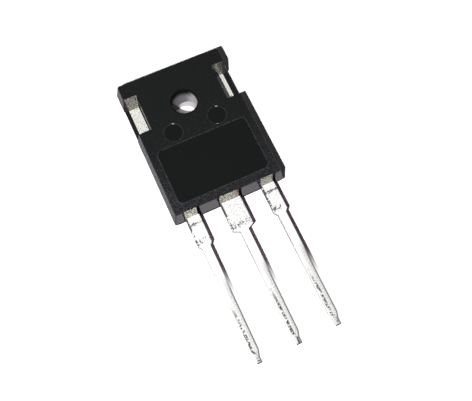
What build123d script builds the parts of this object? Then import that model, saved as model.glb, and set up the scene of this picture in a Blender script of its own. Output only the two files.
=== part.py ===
"""Power transistor in a three-lead plastic package for a heat sink.

The part lies on its back. Millimetres. The origin is the centre of the mounting
hole in the plane of the heat-sink face. +X runs across the package, +Y runs
towards the end with the hole, the leads point along -Y, and +Z runs from the
heat-sink face to the marked face.
"""

from build123d import *
import os

# ---------------------------------------------------------------- sizes

# Moulded body, measured where its two halves meet
body_width = 15.8
body_length = 21.1
body_height = 5.0
hole_to_top_end = 6.15
parting_height = 2.4          # height of the line where the mould halves meet
front_draft = 9.0             # degrees, on the walls of the half with the marked face
back_draft = 15.0             # degrees, on the walls of the half with the heat-sink face
body_corner_radius = 0.25
face_edge_radius = 0.12

# Mounting hole
hole_diameter = 3.6
hole_rim_chamfer = 0.12

# Side windows: two pockets that lay the tab's shoulders bare
window_depth = 2.4            # in from the side of the body
window_length = 5.6
window_to_hole = 3.5          # from the hole's centre to the window's top end
window_draft = 5.0            # degrees
window_corner_radius = 0.25

# Ejector pin marks on the marked face
ejector_diameter = 2.6
ejector_spacing = 6.35
ejector_to_hole = 3.7
ejector_depth = 0.1

# Polished panel on the marked face
panel_width = 12.6
panel_length = 7.7
panel_to_hole = 5.5           # from the hole's centre to the panel's near edge
panel_corner_radius = 0.7
panel_depth = 0.06

# Heat-sink tab: a bare pad below, a wider flange above that locks into the moulding
tab_thickness = 2.0
pad_width = 13.4
pad_to_top_end = 1.3          # from the pad to the moulding's end with the hole
pad_to_lead_end = 3.4         # from the pad to the moulding's end with the leads
flange_overhang = 0.5
flange_thickness = 0.7
tab_hole_diameter = 5.2
ring_diameter = 7.2           # moulded ring round the hole on the heat-sink face
ring_depth = 0.9
pad_corner_radius = 0.4

# Leads
lead_pitch = 5.44
lead_thickness = 0.6
lead_length = 20.3            # from the body's end to the tips
lead_width = 1.2
outer_shoulder_width = 1.95
centre_shoulder_width = 2.95
shoulder_length = 3.95
shoulder_taper = 0.42
tip_width = 0.7
tip_length = 0.8
tip_taper = 0.85
lead_edge_radius = 0.1

# Bond posts: the leads' wide inner ends, sealed in the moulding
post_width = 3.6
post_length = 1.8
post_cover = 1.0              # moulding between the posts and the body's end
post_corner_radius = 0.3

# Step that carries the centre lead up from the tab
step_foot = 0.35              # level run beyond the tab's end
step_run = 0.9                # length of the slope

# Silicon die, soldered on the tab
die_width = 8.2
die_length = 6.4
die_thickness = 0.28
die_to_pad_end = 0.65         # from the die to the pad's end on the lead side
solder_thickness = 0.06
solder_margin = 0.25

# Bond wires, sealed in the moulding
wire_sides = 12               # flats that stand for a wire's round section
source_wire_diameter = 0.38
source_wire_count = 3
source_wire_pitch = 0.95
gate_wire_diameter = 0.2
wire_loop_rise = 0.75         # top of the loop above the higher foot
foot_length_factor = 2.6      # foot length over wire diameter
foot_width_factor = 1.45
foot_height_factor = 0.6
source_foot_to_die_edge = 1.5
gate_foot_to_die_edge = 0.6
gate_foot_to_die_side = 0.8
source_foot_to_die_side = 2.2

# ---------------------------------------------------------------- places

body_end_y = hole_to_top_end - body_length
body_middle_y = hole_to_top_end - body_length / 2
lead_top_z = parting_height + lead_thickness
lead_tip_y = body_end_y - lead_length

pad_length = body_length - pad_to_top_end - pad_to_lead_end
pad_middle_y = hole_to_top_end - pad_to_top_end - pad_length / 2
pad_end_y = pad_middle_y - pad_length / 2
tab_end_y = pad_end_y - flange_overhang
step_foot_y = tab_end_y - step_foot
step_top_y = step_foot_y - step_run

post_middle_y = body_end_y + post_cover + post_length / 2

die_end_y = pad_end_y + die_to_pad_end
die_middle_y = die_end_y + die_length / 2
die_base_z = tab_thickness + solder_thickness
die_top_z = die_base_z + die_thickness


# ---------------------------------------------------------------- leads

def lead_outline(centre_x, shoulder_width, start_y):
    """List a lead's corners, from start_y inside the body round its narrowed tip."""
    shoulder_end_y = body_end_y - shoulder_length
    tip_start_y = lead_tip_y + tip_length
    right_side = [
        (shoulder_width / 2, start_y),
        (shoulder_width / 2, shoulder_end_y),
        (lead_width / 2, shoulder_end_y - shoulder_taper),
        (lead_width / 2, tip_start_y + tip_taper),
        (tip_width / 2, tip_start_y),
        (tip_width / 2, lead_tip_y),
    ]
    right_points = [(centre_x + x, y) for x, y in right_side]
    left_points = [(centre_x - x, y) for x, y in reversed(right_side)]
    return right_points + left_points


def round_top_edges(part, radius):
    """Round the edges that the punch drew down round a flat part's top face."""
    fillet(part.faces().sort_by(Axis.Z)[-1].edges(), radius)


def bond_post_lead(side):
    """Make an outer lead with its bond post; side is -1 on the left, 1 on the right."""
    centre_x = side * lead_pitch
    with BuildPart() as lead:
        with BuildSketch(Plane.XY.offset(parting_height)):
            with BuildLine():
                Polyline(*lead_outline(centre_x, outer_shoulder_width, post_middle_y), close=True)
            make_face()
        extrude(amount=lead_thickness)
        round_top_edges(lead, lead_edge_radius)
        with BuildSketch(Plane.XY.offset(parting_height)):
            with Locations((centre_x, post_middle_y)):
                RectangleRounded(post_width, post_length, post_corner_radius)
        extrude(amount=lead_thickness)
    return lead


gate_lead = bond_post_lead(-1)
gate_lead.part.label = "gate_lead"

source_lead = bond_post_lead(1)
source_lead.part.label = "source_lead"


# ---------------------------------------------------------------- tab and centre lead

with BuildPart() as drain_leadframe:
    # Centre lead, from the top of the step to the tip
    with BuildSketch(Plane.XY.offset(parting_height)):
        with BuildLine():
            Polyline(*lead_outline(0, centre_shoulder_width, step_top_y), close=True)
        make_face()
    extrude(amount=lead_thickness)
    round_top_edges(drain_leadframe, lead_edge_radius)

    # Step: the lead's metal leaves the tab level with its top and climbs to the lead
    with BuildSketch(Plane.YZ):
        with BuildLine():
            Polyline(
                (tab_end_y, tab_thickness),
                (step_foot_y, tab_thickness),
                (step_top_y, lead_top_z),
                (step_top_y, parting_height),
                (step_foot_y, tab_thickness - lead_thickness),
                (tab_end_y, tab_thickness - lead_thickness),
                close=True,
            )
        make_face()
    extrude(amount=centre_shoulder_width / 2, both=True)

    # Pad, and the wider flange above it
    with BuildSketch():
        with Locations((0, pad_middle_y)):
            RectangleRounded(pad_width, pad_length, pad_corner_radius)
    extrude(amount=tab_thickness)
    with BuildSketch(Plane.XY.offset(tab_thickness - flange_thickness)):
        with Locations((0, pad_middle_y)):
            RectangleRounded(
                pad_width + 2 * flange_overhang,
                pad_length + 2 * flange_overhang,
                pad_corner_radius,
            )
    extrude(amount=flange_thickness)

    # Clearance for the moulded bush and its ring
    with BuildSketch():
        Circle(tab_hole_diameter / 2)
    extrude(amount=tab_thickness, mode=Mode.SUBTRACT)
    with BuildSketch():
        Circle(ring_diameter / 2)
    extrude(amount=ring_depth, mode=Mode.SUBTRACT)
drain_leadframe.part.label = "drain_leadframe"


# ---------------------------------------------------------------- die

with BuildPart() as die_attach_solder:
    with BuildSketch(Plane.XY.offset(tab_thickness)):
        with Locations((0, die_middle_y)):
            Rectangle(die_width + 2 * solder_margin, die_length + 2 * solder_margin)
    extrude(amount=solder_thickness)
die_attach_solder.part.label = "die_attach_solder"

with BuildPart() as silicon_die:
    with BuildSketch(Plane.XY.offset(die_base_z)):
        with Locations((0, die_middle_y)):
            Rectangle(die_width, die_length)
    extrude(amount=die_thickness)
silicon_die.part.label = "silicon_die"


# ---------------------------------------------------------------- bond wires

def bond_wire(diameter, die_x, die_y, post_x):
    """Make a wire wedged to the die's top at one end and to a bond post at the other."""
    foot_height = diameter * foot_height_factor
    heading = Vector(post_x - die_x, post_middle_y - die_y, 0)
    die_end = Vector(die_x, die_y, die_top_z + foot_height)
    post_end = Vector(post_x, post_middle_y, lead_top_z + foot_height)
    crown = (die_end + post_end) * 0.5
    crown.Z = max(die_end.Z, post_end.Z) + wire_loop_rise
    with BuildPart() as wire:
        with BuildLine() as loop:
            ThreePointArc(die_end, crown, post_end)
        with BuildSketch(Plane(origin=loop.line @ 0, z_dir=loop.line % 0)):
            RegularPolygon(diameter / 2, wire_sides)
        sweep()
        for end in (die_end, post_end):
            foot_plane = Plane(origin=end, x_dir=heading, z_dir=(0, 0, -1))
            with BuildSketch(foot_plane):
                SlotOverall(diameter * foot_length_factor, diameter * foot_width_factor)
            extrude(amount=foot_height)
    return wire


source_foot_x = die_width / 2 - source_foot_to_die_side
source_foot_y = die_end_y + source_foot_to_die_edge
source_wires = []
for number in range(source_wire_count):
    offset_x = (number - (source_wire_count - 1) / 2) * source_wire_pitch
    source_wire = bond_wire(
        source_wire_diameter,
        source_foot_x + offset_x,
        source_foot_y,
        lead_pitch + offset_x,
    )
    source_wire.part.label = f"source_bond_wire_{number + 1}"
    source_wires.append(source_wire)

gate_bond_wire = bond_wire(
    gate_wire_diameter,
    gate_foot_to_die_side - die_width / 2,
    die_end_y + gate_foot_to_die_edge,
    -lead_pitch,
)
gate_bond_wire.part.label = "gate_bond_wire"


# ---------------------------------------------------------------- moulding

inserts = [
    drain_leadframe, gate_lead, source_lead, die_attach_solder, silicon_die,
    gate_bond_wire, *source_wires,
]

with BuildPart() as moulded_body:
    # Two drafted halves that meet at the parting line
    with BuildSketch(Plane.XY.offset(parting_height)) as parting_outline:
        with Locations((0, body_middle_y)):
            Rectangle(body_width, body_length)
    extrude(amount=body_height - parting_height, taper=front_draft)
    extrude(parting_outline.sketch, amount=-parting_height, taper=back_draft)
    corner_edges = moulded_body.edges().filter_by(lambda edge: abs((edge % 0.5).Z) > 0.5)
    fillet(corner_edges, body_corner_radius)
    fillet(moulded_body.faces().sort_by(Axis.Z)[-1].edges(), face_edge_radius)

    # Side windows, down to the tab
    with BuildSketch(Plane.XY.offset(body_height)):
        for side in (-1, 1):
            with Locations((side * body_width / 2, window_to_hole - window_length / 2)):
                RectangleRounded(2 * window_depth, window_length, window_corner_radius)
    extrude(amount=tab_thickness - body_height, taper=window_draft, mode=Mode.SUBTRACT)

    # Polished panel and ejector pin marks
    with BuildSketch(Plane.XY.offset(body_height)):
        with Locations((0, -panel_to_hole - panel_length / 2)):
            RectangleRounded(panel_width, panel_length, panel_corner_radius)
    extrude(amount=-panel_depth, mode=Mode.SUBTRACT)
    with BuildSketch(Plane.XY.offset(body_height)):
        with Locations((0, -ejector_to_hole)):
            with GridLocations(ejector_spacing, 0, 2, 1):
                Circle(ejector_diameter / 2)
    extrude(amount=-ejector_depth, mode=Mode.SUBTRACT)

    # The metal that the compound closed round
    for insert in inserts:
        add(insert.part, mode=Mode.SUBTRACT)

    # Mounting hole
    with BuildSketch():
        Circle(hole_diameter / 2)
    extrude(amount=body_height, mode=Mode.SUBTRACT)
    rims = moulded_body.edges().filter_by(GeomType.CIRCLE).filter_by(
        lambda edge: abs(edge.radius - hole_diameter / 2) < 1e-6)
    chamfer(rims.sort_by(Axis.Z)[-1], hole_rim_chamfer)
moulded_body.part.label = "moulded_body"


# ---------------------------------------------------------------- export

os.makedirs("parts", exist_ok=True)
for piece in (moulded_body, *inserts):
    export_step(piece.part, f"parts/{piece.part.label}.step")
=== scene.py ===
# %% [markdown]
# # A power transistor, dressed on its construction model
# The part is a black moulded package with a screw hole, three tinned leads and a bare heat-sink
# pad. Its exact shape comes from the construction model. This lesson adds what that model can't
# hold: the finish of each surface, with its grain, its wear and its stains, and some painted light
# and shade.

# %% Load the construction model
from math import radians
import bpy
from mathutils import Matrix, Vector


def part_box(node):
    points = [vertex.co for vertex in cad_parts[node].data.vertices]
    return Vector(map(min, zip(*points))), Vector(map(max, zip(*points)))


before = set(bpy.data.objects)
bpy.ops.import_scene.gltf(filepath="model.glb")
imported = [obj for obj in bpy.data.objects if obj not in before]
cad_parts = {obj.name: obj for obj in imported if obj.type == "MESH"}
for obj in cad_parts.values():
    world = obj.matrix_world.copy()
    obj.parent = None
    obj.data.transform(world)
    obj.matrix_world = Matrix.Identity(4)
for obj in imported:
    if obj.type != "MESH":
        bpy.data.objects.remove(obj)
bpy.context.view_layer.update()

from types import SimpleNamespace

import bpy
from mathutils import Matrix, Vector

MM = 0.001
print("nodes:", sorted(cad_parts))

# %% [markdown]
# ## The places that the finishes need
# A finish changes from one region to the next, so it needs to know where the regions are. The
# boxes of the nodes give the outer sizes. The sizes that no box tells, such as the polished
# panel's and the hole's, are written here once. All of them are in millimetres.

# %% Measure the regions
body_low, body_high = (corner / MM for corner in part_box("moulded_body"))
gate_low, gate_high = (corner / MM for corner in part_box("gate_lead"))
source_low, source_high = (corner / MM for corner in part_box("source_lead"))

FACE_Z = body_high.z
BODY_END_Y = body_low.y
PARTING_Z = 2.4
HOLE_RADIUS = 1.8

LEAD_TOP_Z = gate_high.z
LEAD_LENGTH = BODY_END_Y - gate_low.y
LEAD_PITCH = (source_low.x + source_high.x) / 2
LEAD_WIDTH = 1.2
SHOULDER_LENGTH = 3.95
SHOULDER_TAPER = 0.42
TIP_WIDTH = 0.7
TIP_LENGTH = 0.8
TIP_TAPER = 0.85

# Each lead's middle across the package, and the width of its shoulder
LEADS = {"gate_lead": (-LEAD_PITCH, 1.95), "drain_leadframe": (0.0, 2.95),
         "source_lead": (LEAD_PITCH, 1.95)}

# The polish reaches about 0.1 past the panel's step
PANEL_CENTRE = (0, -9.4)
PANEL_HALF = (6.42, 3.98)
PANEL_CORNER = 0.75

EJECTOR_X = 3.175
EJECTOR_Y = -3.7
EJECTOR_RADIUS = 1.3
print(f"lead pitch {LEAD_PITCH:.2f} mm, leads {LEAD_LENGTH:.1f} mm long")

# %% [markdown]
# ## Helpers for materials
# Every finish here is a small network of nodes. Writing each node on one line keeps a network
# readable. Coordinates come from the object and are turned into millimetres, so that every
# scale in a pattern can be read as so many per millimetre.

# %% Node helpers
def put(tree, kind, inputs=None, **settings):
    """Add a node; inputs may be values or other nodes' sockets."""
    made = tree.nodes.new(kind)
    for name, value in settings.items():
        setattr(made, name, value)
    for key, value in (inputs or {}).items():
        if isinstance(value, bpy.types.NodeSocket):
            tree.links.new(value, made.inputs[key])
        else:
            made.inputs[key].default_value = value
    return made


def maths(tree, operation, first, second=0.0, third=0.0, clamp=False):
    """Return the result of one sum on numbers or sockets."""
    inputs = {0: first, 1: second, 2: third}
    return put(tree, "ShaderNodeMath", inputs, operation=operation, use_clamp=clamp).outputs[0]


def smooth_step(tree, value, low, high, at_low=0.0, at_high=1.0):
    """Blend from at_low to at_high as value goes from low to high."""
    inputs = {"Value": value, "From Min": low, "From Max": high,
              "To Min": at_low, "To Max": at_high}
    return put(tree, "ShaderNodeMapRange", inputs, interpolation_type="SMOOTHSTEP").outputs[0]


def noise(tree, vector, scale, detail=3.0, roughness=0.5):
    inputs = {"Vector": vector, "Scale": scale, "Detail": detail, "Roughness": roughness}
    return put(tree, "ShaderNodeTexNoise", inputs).outputs["Fac"]


def mix_colour(tree, share, first, second):
    made = put(tree, "ShaderNodeMix", {"Factor": share}, data_type="RGBA")
    for socket, value in ((made.inputs[6], first), (made.inputs[7], second)):
        if isinstance(value, bpy.types.NodeSocket):
            tree.links.new(value, socket)
        else:
            socket.default_value = (*value, 1)
    return made.outputs[2]


def product(tree, *factors):
    """Multiply any number of sockets and numbers."""
    result = factors[0]
    for factor in factors[1:]:
        result = maths(tree, "MULTIPLY", result, factor)
    return result


def mix_number(tree, share, first, second):
    inputs = {"Factor": share, "A": first, "B": second}
    return put(tree, "ShaderNodeMix", inputs, data_type="FLOAT").outputs[0]


def start_material(name):
    """Make a material; return it, its tree, its shader and its object coordinates in mm."""
    material = bpy.data.materials.new(name)
    material.use_nodes = True
    tree = material.node_tree
    shader = tree.nodes["Principled BSDF"]
    place = put(tree, "ShaderNodeTexCoord").outputs["Object"]
    mm = put(tree, "ShaderNodeVectorMath", {0: place, "Scale": 1 / MM},
             operation="SCALE").outputs[0]
    return material, tree, shader, mm


def split(tree, vector):
    return put(tree, "ShaderNodeSeparateXYZ", {0: vector}).outputs


def surface_direction(tree):
    """Return the three parts of the surface's direction, on the object's own axes."""
    return split(tree, put(tree, "ShaderNodeTexCoord").outputs["Normal"])


def dress(node_name, material):
    """Give a construction node its finish."""
    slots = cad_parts[node_name].material_slots
    for slot in slots:
        slot.material = material
    if not slots:
        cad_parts[node_name].data.materials.append(material)
    print(f"{node_name}: {material.name}")


# %% [markdown]
# ## Moulding compound
# The package is black epoxy filled with fine silica. The mould's faces were spark eroded, so the
# marked face and the back are matt with a fine grain. The walls and the windows were left
# smooth, and they shine. The panel for the marking and the ejector pins' ends are polished too.
# Some light and shade is painted into the colour: a sheen and glints on the face, highlights on
# the rims, light on the hole's wall, a purplish lift on the outer walls, and on the ends the leads'
# reflections and their shadows. One material holds all of this: it reads the direction of the
# surface and the place on it. Each cell below makes one layer, and the last cell puts them together.

# %% Distances to shapes on the face
def rounded_box_distance(tree, x, y, centre, half, corner):
    """Return how far a point is outside a rectangle with rounded corners, in mm."""
    over = []
    for value, middle, reach in ((x, centre[0], half[0]), (y, centre[1], half[1])):
        from_middle = maths(tree, "ABSOLUTE", maths(tree, "SUBTRACT", value, middle))
        over.append(maths(tree, "SUBTRACT", from_middle, reach - corner))
    outside = [maths(tree, "MAXIMUM", value, 0.0) for value in over]
    squares = [maths(tree, "MULTIPLY", value, value) for value in outside]
    length = maths(tree, "SQRT", maths(tree, "ADD", *squares))
    inside = maths(tree, "MINIMUM", maths(tree, "MAXIMUM", *over), 0.0)
    return maths(tree, "SUBTRACT", maths(tree, "ADD", length, inside), corner)


def disc_distance(tree, x, y, centre_x, centre_y, radius):
    """Return how far a point is outside a circle, in mm."""
    across = maths(tree, "SUBTRACT", x, centre_x)
    along = maths(tree, "SUBTRACT", y, centre_y)
    squares = maths(tree, "ADD", maths(tree, "MULTIPLY", across, across),
                    maths(tree, "MULTIPLY", along, along))
    return maths(tree, "SUBTRACT", maths(tree, "SQRT", squares), radius)


# %% Regions of the moulding
RESIN_DARK = (0.0095, 0.0105, 0.0102)
RESIN_LIGHT = (0.012, 0.013, 0.0125)
RESIN_MATT = (0.0165, 0.017, 0.0172)
# The outer walls' purplish lift is a painted reflection tint
RESIN_OUTER_WALL = (0.03, 0.019, 0.038)
SILICA_AND_SHEEN = (0.085, 0.085, 0.1)


def find_regions(tree, mm):
    """Return where a point of the moulding is, and masks that are 1 inside their region."""
    at = SimpleNamespace(mm=mm)
    at.x, at.y, at.z = split(tree, mm)
    at.side_x = maths(tree, "ABSOLUTE", at.x)
    across, along, facing = surface_direction(tree)
    flat = maths(tree, "GREATER_THAN", maths(tree, "ABSOLUTE", facing), 0.9)
    at.wall = maths(tree, "SUBTRACT", 1.0, flat)
    at.sideways = maths(tree, "GREATER_THAN", maths(tree, "ABSOLUTE", across), 0.5)
    at.on_face = maths(tree, "GREATER_THAN", at.z, FACE_Z - 0.2)

    at.panel = rounded_box_distance(tree, at.x, at.y, PANEL_CENTRE, PANEL_HALF, PANEL_CORNER)
    at.disc = disc_distance(tree, at.side_x, at.y, EJECTOR_X, EJECTOR_Y, EJECTOR_RADIUS)
    inside = maths(tree, "LESS_THAN", maths(tree, "MINIMUM", at.panel, at.disc), 0.0)
    at.polished = maths(tree, "MULTIPLY", inside, at.on_face)
    at.matt = maths(tree, "MULTIPLY", flat, maths(tree, "SUBTRACT", 1.0, at.polished))

    near_hole = maths(tree, "LESS_THAN", disc_distance(tree, at.x, at.y, 0.0, 0.0, HOLE_RADIUS), 0.3)
    at.in_hole = maths(tree, "MULTIPLY", near_hole, at.wall)
    at.off_hole = maths(tree, "SUBTRACT", 1.0, at.in_hole)
    at.end_face = product(tree, maths(tree, "LESS_THAN", at.y, BODY_END_Y + 0.6), at.wall)
    outer_side = product(tree, at.wall, maths(tree, "GREATER_THAN", at.side_x, 7.3))
    at.outer_wall = maths(tree, "MAXIMUM", outer_side, at.end_face)

    # The windows' ends that look back at the leads, where the tab's metal lies below them
    on_metal = smooth_step(tree, at.side_x, 7.0, 7.4, 1.0, 0.2)
    at.window_end = product(tree, at.wall, maths(tree, "GREATER_THAN", at.y, 0.0),
                            maths(tree, "LESS_THAN", along, -0.5), at.off_hole, on_metal)
    return at


# %% Silica grains, painted sheen and painted rim highlights
def silica_and_painted_sheen(tree, at):
    """Return how much silica shows, with a painted sheen: more towards the leads and the left, and
    sparse painted glints.
    """
    fleck = smooth_step(tree, noise(tree, at.mm, 8.5, 3.0, 0.75), 0.45, 0.68, 0.0, 0.85)
    # Painted sheen: the flecks grow towards the leads and the left
    towards_leads = smooth_step(tree, at.y, EJECTOR_Y, BODY_END_Y, 0.1, 0.85)
    towards_left = smooth_step(tree, at.x, -2.0, -7.5, 1.0, 1.5)
    fleck = product(tree, fleck, at.matt, towards_leads, towards_left)
    # Sparse bright specks on the matt face are painted glints
    painted_glints = smooth_step(tree, noise(tree, at.mm, 5.2, 1.0, 0.4), 0.68, 0.73)
    painted_glints = product(tree, painted_glints, at.matt, smooth_step(tree, at.y, 1.0, EJECTOR_Y, 0.15, 0.7))
    return maths(tree, "MAXIMUM", fleck, painted_glints)


def painted_rim_highlights(tree, at):
    """Return the painted highlights on the rims of the panel and of the ejector marks, with painted
    glints.
    """
    broken = smooth_step(tree, noise(tree, at.mm, 4.0, 2.0, 0.6), 0.42, 0.56, 0.2, 1.0)
    # Painted highlights along the rims of the panel and of the marks
    panel_rim = smooth_step(tree, maths(tree, "ABSOLUTE", at.panel), 0.03, 0.1, 0.7, 0.0)
    disc_rim = smooth_step(tree, maths(tree, "ABSOLUTE", at.disc), 0.02, 0.09, 0.6, 0.0)
    rim = product(tree, maths(tree, "MAXIMUM", panel_rim, disc_rim), at.on_face, broken)

    # Painted glints on the ejector marks' rims: which mark, and at its far (1) or near (-1) end
    for mark_x, end in ((-EJECTOR_X, 1), (EJECTOR_X, 1), (EJECTOR_X, -1)):
        glint_x = mark_x + 0.34 * EJECTOR_RADIUS * end
        glint_y = EJECTOR_Y + 0.94 * EJECTOR_RADIUS * end
        spot = smooth_step(tree, disc_distance(tree, at.x, at.y, glint_x, glint_y, 0.0),
                           0.07, 0.2, 1.0, 0.0)
        on_rim = smooth_step(tree, disc_rim, 0.2, 0.6, 0.0, 9.0)
        rim = maths(tree, "MAXIMUM", rim, product(tree, spot, on_rim, at.on_face))
    return rim


# %% Painted light on the hole's wall
HOLE_LIGHT_LEFT = (0.25, 0.235, 0.26)
HOLE_LIGHT_RIGHT = (0.75, 0.72, 0.75)
HOLE_LIGHT_FOOT = (0.9, 0.89, 0.9)


def hole_painted_light(tree, at, grain):
    """Return how much painted light lies on the hole's wall, and its colour: dim at the left, bright
    at the right, white at the foot.
    """
    low = maths(tree, "MULTIPLY_ADD", grain, 0.8, at.z)
    below_rim = smooth_step(tree, low, FACE_Z - 0.4, FACE_Z - 1.8)
    at_sides = product(tree, smooth_step(tree, at.side_x, 0.9, 1.7),
                       smooth_step(tree, low, FACE_Z, FACE_Z - 1.0))
    # Painted shade: the near left gets none of this light and stays dark
    off_near_left = maths(tree, "MAXIMUM", smooth_step(tree, at.x, -0.2, 0.6),
                          smooth_step(tree, at.y, -0.2, 0.6))
    share = product(tree, maths(tree, "MAXIMUM", below_rim, at_sides), off_near_left, at.in_hole)

    colour = mix_colour(tree, smooth_step(tree, at.x, 0.6, 1.8), HOLE_LIGHT_LEFT, HOLE_LIGHT_RIGHT)
    # A white foot low on the far wall is painted light
    foot = maths(tree, "MULTIPLY_ADD", at.x, -0.45, low)
    white_foot = product(tree, smooth_step(tree, foot, 1.6, 1.3),
                         smooth_step(tree, at.x, -0.6, 0.1))
    return share, mix_colour(tree, white_foot, colour, HOLE_LIGHT_FOOT)


# %% Painted reflections of the leads on the resin
LEAD_REFLECTION_TINT = (0.8, 0.77, 0.58)
COPPER_REFLECTION_TINT = (0.3, 0.08, 0.06)
PAINTED_SHADOW_LINE = (0.004, 0.004, 0.005)


def beside_and_over_leads(tree, at):
    """Return masks on the end face: over the leads, where their reflection is painted, and the
    painted shadow line along each side.
    """
    upper_end = product(tree, at.end_face, maths(tree, "GREATER_THAN", at.z, PARTING_Z))
    over_lead = 0.0
    to_line_end = 0.0
    for centre_x, width in LEADS.values():
        off_centre = maths(tree, "SUBTRACT", at.x, centre_x - 0.07)
        outside = maths(tree, "SUBTRACT", maths(tree, "ABSOLUTE", off_centre), width / 2 - 0.1)
        line_width = maths(tree, "MULTIPLY_ADD", maths(tree, "SIGN", off_centre), 0.13, 0.29)
        over_lead = maths(tree, "MAXIMUM", over_lead, maths(tree, "LESS_THAN", outside, 0.0))
        line = maths(tree, "LESS_THAN", outside, line_width)
        to_line_end = maths(tree, "MAXIMUM", to_line_end, line)
    beside = product(tree, maths(tree, "SUBTRACT", to_line_end, over_lead), upper_end)
    # The painted reflection fades towards the right
    towards_right = smooth_step(tree, at.x, -6.0, 6.0, 1.0, 0.7)
    return product(tree, over_lead, upper_end, towards_right), beside


# %% Shine of the walls
def wall_shine(tree, at, over_lead, painted_shadow_beside_lead, reflection_patches):
    """Return the weight of the walls' gloss: strong on the ends, mottled on the outer sides."""
    shiny = maths(tree, "MAXIMUM", over_lead, at.window_end)
    patchy = maths(tree, "MULTIPLY_ADD", reflection_patches, 0.55, 0.45)
    upper = smooth_step(tree, at.z, PARTING_Z + 0.1, PARTING_Z + 0.25)
    upper = maths(tree, "MAXIMUM", upper, at.window_end)
    # The gloss is taken off along the painted shadow lines
    off_line = maths(tree, "MULTIPLY_ADD", painted_shadow_beside_lead, -0.9, 1.0)
    ends = product(tree, mix_number(tree, shiny, 0.67, patchy), upper, off_line)

    drawn = put(tree, "ShaderNodeMapping", {"Vector": at.mm, "Scale": (1, 1, 0.5)}).outputs[0]
    mottle = smooth_step(tree, noise(tree, drawn, 7.0, 3.0, 0.7), 0.4, 0.6, 0.18, 0.55)

    # The windows' inner sides are dull, with one bright line along them
    from_line = maths(tree, "ABSOLUTE", maths(tree, "SUBTRACT", at.z, 3.6))
    bright_line = smooth_step(tree, from_line, 0.2, 0.4, 0.7, 0.05)
    inner_side = product(tree, at.sideways, maths(tree, "LESS_THAN", at.side_x, 6.5))
    sides = mix_number(tree, inner_side, mottle, bright_line)
    return product(tree, mix_number(tree, at.sideways, ends, sides), at.wall, at.off_hole)


# %% Moulding compound material
def make_moulding_compound():
    material, tree, shader, mm = start_material("moulding_compound")
    at = find_regions(tree, mm)
    grain = noise(tree, mm, 7.0, 4.0, 0.6)
    fleck = silica_and_painted_sheen(tree, at)

    shade = mix_colour(tree, grain, RESIN_DARK, RESIN_LIGHT)
    shade = mix_colour(tree, maths(tree, "MULTIPLY", at.matt, 0.6), shade, RESIN_MATT)
    # Silica flecks, lightened further by painted sheen and painted glints
    shade = mix_colour(tree, fleck, shade, SILICA_AND_SHEEN)
    # The painted rim highlights lift the colour
    rim_light = put(tree, "ShaderNodeVectorMath",
                    {0: (0.055, 0.056, 0.06), "Scale": painted_rim_highlights(tree, at)},
                    operation="SCALE").outputs[0]
    shade = put(tree, "ShaderNodeVectorMath", {0: shade, 1: rim_light}, operation="ADD").outputs[0]
    # Painted light on the hole's wall, brighter towards the right
    hole_light_share, hole_light_colour = hole_painted_light(tree, at, grain)
    shade = mix_colour(tree, hole_light_share, shade, hole_light_colour)
    # A painted reflection tint lifts the outer walls and the end face
    shade = mix_colour(tree, at.outer_wall, shade, RESIN_OUTER_WALL)

    over_lead, painted_shadow_beside_lead = beside_and_over_leads(tree, at)
    reflection_patches = smooth_step(tree, noise(tree, mm, 5.0, 3.0, 0.8), 0.45, 0.55)
    # Painted reflections: the leads' tin on the end face and the windows' end walls, and a
    # copper-coloured one over the middle lead
    lead_reflection = product(tree, maths(tree, "MULTIPLY_ADD", at.window_end, 0.3, over_lead), reflection_patches)
    shade = mix_colour(tree, lead_reflection, shade, LEAD_REFLECTION_TINT)
    copper_reflection = product(tree, over_lead, smooth_step(tree, at.x, 0.5, 0.9), reflection_patches,
                     maths(tree, "LESS_THAN", at.x, 1.6))
    shade = mix_colour(tree, copper_reflection, shade, COPPER_REFLECTION_TINT)
    # A painted shadow line beside each lead on the end face
    shade = mix_colour(tree, painted_shadow_beside_lead, shade, PAINTED_SHADOW_LINE)
    tree.links.new(shade, shader.inputs["Base Color"])

    rough = maths(tree, "MULTIPLY_ADD", at.matt, 0.3, 0.3)
    rough = maths(tree, "MULTIPLY_ADD", grain, 0.1, rough)
    tree.links.new(rough, shader.inputs["Roughness"])
    shader.inputs["Specular IOR Level"].default_value = 0.0

    gloss = wall_shine(tree, at, over_lead, painted_shadow_beside_lead, reflection_patches)
    gloss = maths(tree, "MULTIPLY_ADD", at.polished, 0.05, gloss)
    tree.links.new(gloss, shader.inputs["Coat Weight"])
    shader.inputs["Coat Roughness"].default_value = 0.05
    shader.inputs["Coat IOR"].default_value = 1.9

    ripple = maths(tree, "MULTIPLY", noise(tree, mm, 3.5, 3.0, 0.6), at.wall)
    height = maths(tree, "MULTIPLY", maths(tree, "ADD", grain, fleck), at.matt)
    height = maths(tree, "MULTIPLY_ADD", ripple, 2.0, height)
    bump = put(tree, "ShaderNodeBump", {"Height": height, "Strength": 0.5,
                                        "Distance": 0.012 * MM})
    tree.links.new(bump.outputs[0], shader.inputs["Normal"])
    return material


dress("moulded_body", make_moulding_compound())

# %% [markdown]
# ## Tin plate
# The leads are stamped copper with a matt tin plate. It is nearly white under a lamp, with fine
# pits and a soft grain. Handling leaves dark scuffs near the tips, where the leads went through
# the trim tool, and short dark marks near the body, where the tie bar was cut away. Their sides
# and edges carry painted shade.

# %% Where a point is on a lead
TIN_CLEAN = ((0.95, 0.945, 0.93), (1.0, 1.0, 0.985))
TIN_STAINED = ((0.92, 0.91, 0.83), (0.98, 0.97, 0.92))
TIN_MARK_AND_SHADE = (0.045, 0.04, 0.042)


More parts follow.
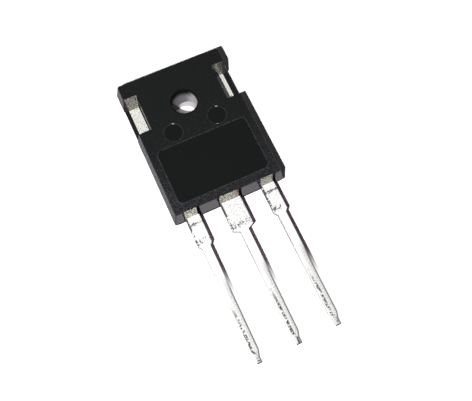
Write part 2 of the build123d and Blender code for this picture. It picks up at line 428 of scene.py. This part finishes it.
def lead_half_width(tree, out, shoulder_width):
    """Return half the lead's width at a distance out from the body, in mm."""
    ramp = {"Value": out, "From Min": SHOULDER_LENGTH, "From Max": SHOULDER_LENGTH + SHOULDER_TAPER,
            "To Min": shoulder_width / 2, "To Max": LEAD_WIDTH / 2}
    half = put(tree, "ShaderNodeMapRange", ramp).outputs[0]
    tip_start = LEAD_LENGTH - TIP_LENGTH
    ramp = {"Value": out, "From Min": tip_start - TIP_TAPER, "From Max": tip_start,
            "To Min": 0.0, "To Max": (LEAD_WIDTH - TIP_WIDTH) / 2}
    return maths(tree, "SUBTRACT", half, put(tree, "ShaderNodeMapRange", ramp).outputs[0])


def find_lead_place(tree, mm, lead):
    """Return where a point is on its lead, in mm, and masks for its shoulder and top."""
    centre_x, shoulder_width = LEADS[lead]
    x, y, z = split(tree, mm)
    at = SimpleNamespace(mm=mm)
    at.top = maths(tree, "GREATER_THAN", z, LEAD_TOP_Z - 0.2)
    at.out = maths(tree, "SUBTRACT", BODY_END_Y, y)
    across = maths(tree, "SUBTRACT", x, centre_x)
    half = lead_half_width(tree, at.out, shoulder_width)
    at.from_left = maths(tree, "ADD", half, across)
    at.from_right = maths(tree, "SUBTRACT", half, across)
    at.shoulder = smooth_step(tree, at.out, SHOULDER_LENGTH - 0.1, SHOULDER_LENGTH + 0.1, 1.0, 0.0)
    at.left_edge_fade = smooth_step(tree, at.out, LEAD_LENGTH * 0.35, LEAD_LENGTH * 0.55, 1.0, 0.3)
    return at


# %% Marks and painted shade on the leads
def band(tree, value, middle, full, none, strength=1.0):
    """Return strength up to full away from the middle, fading to 0 at none away from it."""
    away = maths(tree, "ABSOLUTE", maths(tree, "SUBTRACT", value, middle))
    return smooth_step(tree, away, full, none, strength, 0.0)


def handling_marks(tree, at, fine):
    """Scuffs of the trim tool, and a grey mottle towards the tip that is darker towards the right
    edge.
    """
    last = smooth_step(tree, at.out, LEAD_LENGTH * 0.52, LEAD_LENGTH * 0.78)
    line = maths(tree, "MULTIPLY_ADD", last, -0.16, at.from_left)
    blots = smooth_step(tree, noise(tree, at.mm, 3.8, 3.0, 0.7), 0.43, 0.52)
    scuff = product(tree, band(tree, line, 0.22, 0.08, 0.3), blots, last)
    towards_tip = smooth_step(tree, at.out, LEAD_LENGTH * 0.36, LEAD_LENGTH * 0.52)
    tip_mottle = product(tree, towards_tip, smooth_step(tree, at.from_right, 1.0, 0.1, 0.12, 0.6),
                   smooth_step(tree, fine, 0.4, 0.6, 0.3, 1.0))
    return maths(tree, "MAXIMUM", scuff, tip_mottle)


def tie_bar_marks(tree, at, grain, coarse, row_strength):
    """Dashes near the body, specks where the shoulder ends, and stipple between them."""
    wavy = maths(tree, "MULTIPLY_ADD", coarse, 0.8, at.out)
    row = band(tree, wavy, 1.4, 0.14, 0.19, row_strength)
    row = maths(tree, "MULTIPLY", row, smooth_step(tree, grain, 0.46, 0.48))
    corner = smooth_step(tree, at.from_left, 1.0, 0.3, 0.0, 0.07)
    specks = maths(tree, "ADD", noise(tree, at.mm, 5.5, 2.0, 0.6), corner)
    specks = product(tree, band(tree, at.out, 3.4, 0.15, 0.6), smooth_step(tree, specks, 0.55, 0.58))
    rare = 0.54 + 0.06 * row_strength
    drawn = put(tree, "ShaderNodeMapping", {"Vector": at.mm, "Scale": (0.7, 1.4, 1)}).outputs[0]
    pits = noise(tree, drawn, 6.0, 2.0, 0.6)
    stipple = product(tree, at.shoulder, smooth_step(tree, pits, rare, rare + 0.08, 0.0, 0.6))
    return maths(tree, "MAXIMUM", maths(tree, "MAXIMUM", row, specks), stipple)


def edge_marks_and_shade(tree, at, grain, coarse):
    """Dashes on the shoulder's left edge, and painted shade lines: along the left edge, along the
    right edge of the outer half, and at the tip's end.
    """
    close = smooth_step(tree, at.out, 0.8, 2.5, 0.12, 0.0)
    dashed = smooth_step(tree, maths(tree, "ADD", coarse, close), 0.46, 0.52)
    dashes = product(tree, smooth_step(tree, at.from_left, 0.2, 0.28, 1.0, 0.0), at.shoulder, dashed)
    # Painted shade along the left edge, fading out towards the tip
    left_edge_shade = product(tree, smooth_step(tree, at.from_left, 0.06, 0.14, 0.5, 0.0),
                   at.left_edge_fade, smooth_step(tree, grain, 0.4, 0.6))
    beyond = smooth_step(tree, at.out, LEAD_LENGTH * 0.4, LEAD_LENGTH * 0.55)
    # Painted shade lines along the right edge and at the tip's end
    right_edge_shade = product(tree, smooth_step(tree, at.from_right, 0.12, 0.28, 0.85, 0.0), beyond)
    tip_end_shade = smooth_step(tree, at.out, LEAD_LENGTH - 0.22, LEAD_LENGTH - 0.12)
    return maths(tree, "MAXIMUM", maths(tree, "MAXIMUM", dashes, left_edge_shade),
                 maths(tree, "MAXIMUM", right_edge_shade, tip_end_shade))


# %% Tin plate material
def make_tin_plate(lead, row_strength):
    """Tin plate for one lead; row_strength is how dark the tie bar's dashes are."""
    material, tree, shader, mm = start_material(f"tin_plate_{lead}")
    at = find_lead_place(tree, mm, lead)
    grain = noise(tree, mm, 5.5, 3.0, 0.6)
    fine = noise(tree, mm, 8.0, 2.0, 0.6)
    coarse = noise(tree, mm, 2.4, 2.0, 0.6)

    marks_and_shade = maths(tree, "MAXIMUM", handling_marks(tree, at, fine),
                  tie_bar_marks(tree, at, grain, coarse, row_strength))
    marks_and_shade = maths(tree, "MAXIMUM", marks_and_shade, edge_marks_and_shade(tree, at, grain, coarse))
    facing = surface_direction(tree)[2]
    # Painted shade: the sides are darker, fading out towards the tips
    shaded_sides = product(tree, smooth_step(tree, facing, 0.2, 0.6, 0.6, 0.0), at.left_edge_fade)
    dark = maths(tree, "MAXIMUM", maths(tree, "MULTIPLY", marks_and_shade, at.top), shaded_sides)

    # Below the leads' tops, as in the windows, the plate is stained and closely pitted
    lower = maths(tree, "SUBTRACT", 1.0, at.top)
    pitted = smooth_step(tree, noise(tree, mm, 5.0, 2.0, 0.6), 0.52, 0.64, 0.0, 0.55)
    dark = maths(tree, "MAXIMUM", dark, maths(tree, "MULTIPLY", pitted, lower))

    shade = mix_colour(tree, lower, mix_colour(tree, grain, *TIN_CLEAN),
                       mix_colour(tree, grain, *TIN_STAINED))
    shade = mix_colour(tree, maths(tree, "MULTIPLY", dark, 0.95), shade, TIN_MARK_AND_SHADE)
    tree.links.new(shade, shader.inputs["Base Color"])
    rough = smooth_step(tree, at.out, 1.0, LEAD_LENGTH * 0.5, 0.5, 0.7)
    tree.links.new(maths(tree, "MULTIPLY_ADD", grain, 0.16, rough), shader.inputs["Roughness"])
    tree.links.new(maths(tree, "MULTIPLY_ADD", at.top, 0.2, 0.3), shader.inputs["Metallic"])

    height = maths(tree, "SUBTRACT", maths(tree, "ADD", grain, fine), dark)
    bump = put(tree, "ShaderNodeBump", {"Height": height, "Strength": 0.8,
                                        "Distance": 0.015 * MM})
    tree.links.new(bump.outputs[0], shader.inputs["Normal"])
    return material


for lead, row_strength in (("gate_lead", 1.0), ("drain_leadframe", 0.0), ("source_lead", 1.0)):
    dress(lead, make_tin_plate(lead, row_strength))

# %% [markdown]
# ## What the moulding seals in
# Nothing of the chip, its solder and the wires shows, but each piece still gets the finish of
# the real one, for whoever opens the package: polished silicon, a dull solder layer and drawn
# aluminium wire.

# %% Inner materials
def make_inner_metal(name, light, dark, rough, scale, stretch=(1, 1, 1)):
    """A plain metal with a grain; stretch draws the grain out along an axis."""
    material, tree, shader, mm = start_material(name)
    drawn = put(tree, "ShaderNodeMapping", {"Vector": mm, "Scale": stretch}).outputs[0]
    grain = noise(tree, drawn, scale, 4.0, 0.6)
    tree.links.new(mix_colour(tree, grain, dark, light), shader.inputs["Base Color"])
    tree.links.new(maths(tree, "MULTIPLY_ADD", grain, 0.15, rough), shader.inputs["Roughness"])
    shader.inputs["Metallic"].default_value = 1.0
    bump = put(tree, "ShaderNodeBump", {"Height": grain, "Strength": 0.3,
                                        "Distance": 0.004 * MM})
    tree.links.new(bump.outputs[0], shader.inputs["Normal"])
    return material


dress("silicon_die", make_inner_metal("silicon", (0.62, 0.63, 0.68), (0.5, 0.51, 0.56), 0.12, 12))
dress("die_attach_solder", make_inner_metal("solder", (0.62, 0.62, 0.6), (0.4, 0.4, 0.38), 0.35, 5))
aluminium_wire = make_inner_metal("aluminium_wire", (0.9, 0.9, 0.91), (0.75, 0.75, 0.76), 0.25, 8,
                                  stretch=(0.3, 0.3, 1))
for wire in ("source_bond_wire_1", "source_bond_wire_2", "source_bond_wire_3", "gate_bond_wire"):
    dress(wire, aluminium_wire)

# %% [markdown]
# ## Floor, light and camera
# The part lies on a plain white floor. One small lamp stands as high as the camera, a little to
# its left, so the part throws a narrow, sharp shadow to its right. The pale room around it is
# what the shiny walls mirror. Towards the lead tips the paper itself looks brighter, as an
# overexposed ground does, and the shadow fades there.

# %% Floor
# The paper's colour as the camera sees it, near the body and beyond its lead end
PAPER_SEEN_NEAR = (1.25, 1.25, 1.25)
PAPER_SEEN_FAR = (1.36, 1.16, 1.32)

# Its colour for the light that it passes on: to what is seen, and to everything after that
PAPER_FIRST = (0.97, 0.97, 0.97)
PAPER_LATER = (0.3, 0.3, 0.3)

bpy.ops.object.select_all(action="DESELECT")
bpy.ops.mesh.primitive_plane_add(size=4, location=(0, 0, 0))
floor = bpy.context.object
floor.name = "floor"
paper, tree, shader, mm = start_material("white_paper")
path = put(tree, "ShaderNodeLightPath").outputs
first = maths(tree, "LESS_THAN", path["Diffuse Depth"], 0.5)
white = mix_colour(tree, first, PAPER_LATER, PAPER_FIRST)
x, y = split(tree, mm)[:2]
beyond_body = smooth_step(tree, y, BODY_END_Y + 0.5, BODY_END_Y - 1.0)
seen_paper = mix_colour(tree, beyond_body, PAPER_SEEN_NEAR, PAPER_SEEN_FAR)
white = mix_colour(tree, path["Is Camera Ray"], white, seen_paper)
tree.links.new(white, shader.inputs["Base Color"])
slanted = maths(tree, "MULTIPLY_ADD", x, 0.2, y)
around = rounded_box_distance(tree, x, slanted, (0, -4.4), (9.5, 12), 2.0)
glow = smooth_step(tree, around, 6.5, 11.0)
glow = maths(tree, "MULTIPLY", glow, path["Is Camera Ray"])
tree.links.new(glow, shader.inputs["Emission Strength"])
shader.inputs["Emission Color"].default_value = (1, 1, 1, 1)
shader.inputs["Roughness"].default_value = 0.9
shader.inputs["Specular IOR Level"].default_value = 0.0
floor.data.materials.append(paper)

# %% Lamp and room
LAMP_PLACE = Vector((-22.4, -38.0, 76.2)) * MM
LAMP_SIZE = 2 * MM
LAMP_STRENGTH = 45.0
bpy.ops.object.light_add(type="POINT", location=LAMP_PLACE)
lamp = bpy.context.object
lamp.name = "key_lamp"
lamp.data.shadow_soft_size = LAMP_SIZE / 2
lamp.data.use_nodes = True
tree = lamp.data.node_tree
falloff = put(tree, "ShaderNodeLightFalloff", {"Strength": LAMP_STRENGTH}).outputs["Constant"]
tree.links.new(falloff, tree.nodes["Emission"].inputs["Strength"])
lamp.data.energy = 1

room = bpy.data.worlds.new("pale_room")
bpy.context.scene.world = room
room.use_nodes = True
tree = room.node_tree
path = put(tree, "ShaderNodeLightPath").outputs
direction = put(tree, "ShaderNodeTexCoord").outputs["Generated"]
height = split(tree, direction)[2]
overhead = smooth_step(tree, height, 0.35, 0.95, 0.7, 0.15)
seen = maths(tree, "MAXIMUM", path["Is Camera Ray"], path["Is Transmission Ray"])
first = maths(tree, "LESS_THAN", path["Diffuse Depth"], 0.5)
strength = maths(tree, "MULTIPLY", path["Is Glossy Ray"], overhead)
strength = maths(tree, "MULTIPLY", strength, first)
strength = maths(tree, "MAXIMUM", strength, seen)
strength = maths(tree, "MAXIMUM", strength, 0.03)
background = tree.nodes["Background"]
background.inputs["Color"].default_value = (1, 1, 1, 1)
tree.links.new(strength, background.inputs["Strength"])

# %% Camera
CAMERA_PLACE = Vector((-10.82, -36.49, 76.22)) * MM
CAMERA_AIM = Vector((1.15, -14.37, 0)) * MM
CAMERA_ROLL = 3.57
bpy.ops.object.camera_add(location=CAMERA_PLACE)
camera = bpy.context.object
camera.name = "camera"
camera.data.lens = 44.6
camera.data.clip_start = 1 * MM
look = (CAMERA_AIM - CAMERA_PLACE).to_track_quat("-Z", "Y").to_matrix()
roll = Matrix.Rotation(radians(CAMERA_ROLL), 3, "Z")
camera.rotation_euler = (look @ roll).to_euler()
bpy.context.scene.camera = camera
bpy.context.scene.view_settings.view_transform = "Standard"
